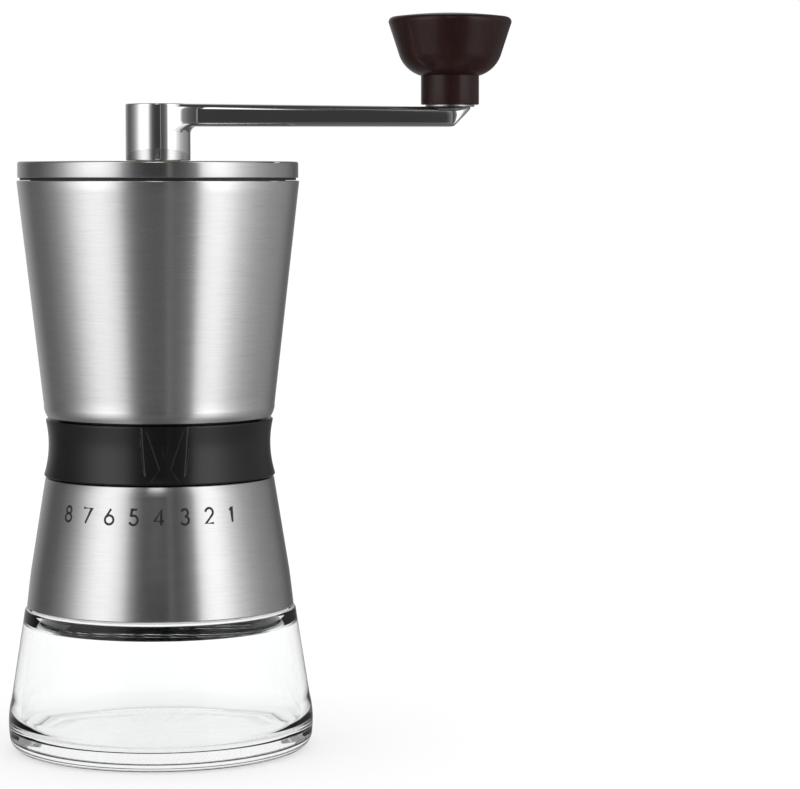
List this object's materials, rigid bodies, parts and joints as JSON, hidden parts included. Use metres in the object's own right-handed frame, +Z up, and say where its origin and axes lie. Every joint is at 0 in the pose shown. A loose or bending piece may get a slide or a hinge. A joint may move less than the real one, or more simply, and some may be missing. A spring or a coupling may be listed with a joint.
{
  "type": "hand crank coffee grinder",
  "caption": "Hourglass hand coffee mill: steel hopper and skirt, black grind ring with a pointer, threaded glass jar, cranked conical burr and a domed knob.",
  "frame": {"origin": "centre of the jar's resting face", "axes": "+Z up along the drive shaft, -Y the front with the scale's middle, +X towards the knob at rest"},
  "size_m": [0.136, 0.0822, 0.198],
  "materials": {
    "clear_glass": "clear, polished",
    "brushed_steel": "brushed round the body",
    "crank_chrome": "mirror bright",
    "ring_black": "satin, fine grain",
    "black_plastic": "moulded satin",
    "silicone": "translucent matt",
    "burr_ceramic": "unglazed, fine",
    "bearing_brass": "turned",
    "machined_steel": "turned",
    "knob_brown": "dark stained, satin"
  },
  "bodies": {
    "jar": {"glass_jar": "clear_glass"},
    "gasket": {"jar_gasket": "silicone"},
    "housing": {"skirt_shell": "brushed_steel", "threaded_collar": "black_plastic", "core_tube": "black_plastic", "collar_screws": "machined_steel", "base_screws": "machined_steel", "lower_bridge": "black_plastic", "lower_bush": "bearing_brass", "hopper_shell": "brushed_steel", "hopper_base": "black_plastic", "hopper_liner": "black_plastic", "bearing_bridge": "black_plastic", "bridge_screws": "machined_steel", "upper_bush": "bearing_brass", "detent_ball": "machined_steel", "detent_spring": "machined_steel"},
    "ring": {"adjuster_ring": "ring_black"},
    "carrier": {"burr_carrier": "black_plastic", "adjust_pins": "machined_steel", "carrier_circlip": "machined_steel", "carrier_spring": "machined_steel", "outer_burr": "burr_ceramic"},
    "shaft": {"drive_shaft": "machined_steel", "inner_burr": "burr_ceramic", "burr_nut": "machined_steel", "thrust_washer": "machined_steel", "shaft_clip": "machined_steel"},
    "lid": {"lid_cap": "brushed_steel", "lid_plug": "black_plastic", "lid_seal": "silicone", "lid_bush": "bearing_brass"},
    "crank": {"crank_arm": "crank_chrome", "drive_socket": "machined_steel", "socket_clip": "machined_steel", "knob_pin": "machined_steel", "knob_washer": "machined_steel"},
    "knob": {"knob_body": "knob_brown", "knob_bush": "bearing_brass", "knob_plug": "knob_brown"}
  },
  "joints": [
    {"name": "jar_lift", "type": "slide", "parent": "jar", "child": "gasket", "axis": [0, 0, 1], "range_m": [0, 0.0201]},
    {"name": "jar_unscrew", "type": "hinge", "parent": "gasket", "child": "housing", "pos_m": [0, 0, 0.04], "axis": [0, 0, 1], "range_deg": [0, 1800]},
    {"name": "ring_turn", "type": "hinge", "parent": "housing", "child": "ring", "pos_m": [0, 0, 0.082], "axis": [0, 0, 1], "range_deg": [-48, 36]},
    {"name": "carrier_slide", "type": "slide", "parent": "housing", "child": "carrier", "axis": [0, 0, 1], "range_m": [-0.00055, 0.00073], "deforming": ["carrier_spring"]},
    {"name": "lid_lift", "type": "slide", "parent": "housing", "child": "lid", "axis": [0, 0, 1], "range_m": [0, 0.03]},
    {"name": "crank_spin", "type": "hinge", "parent": "lid", "child": "crank", "pos_m": [0, 0, 0.1585], "axis": [0, 0, 1], "continuous": true},
    {"name": "shaft_spin", "type": "hinge", "parent": "housing", "child": "shaft", "pos_m": [0, 0, 0.1], "axis": [0, 0, 1], "continuous": true},
    {"name": "knob_spin", "type": "hinge", "parent": "crank", "child": "knob", "pos_m": [0.0785, 0, 0.18], "axis": [0, 0, 1], "continuous": true}
  ],
  "couplings": [
    {"joint": "jar_lift", "follows": "jar_unscrew", "m_per_rad": 0.00063662},
    {"joint": "carrier_slide", "follows": "ring_turn", "m_per_rad": -0.00085944},
    {"joint": "shaft_spin", "follows": "crank_spin", "ratio": 1}
  ]
}
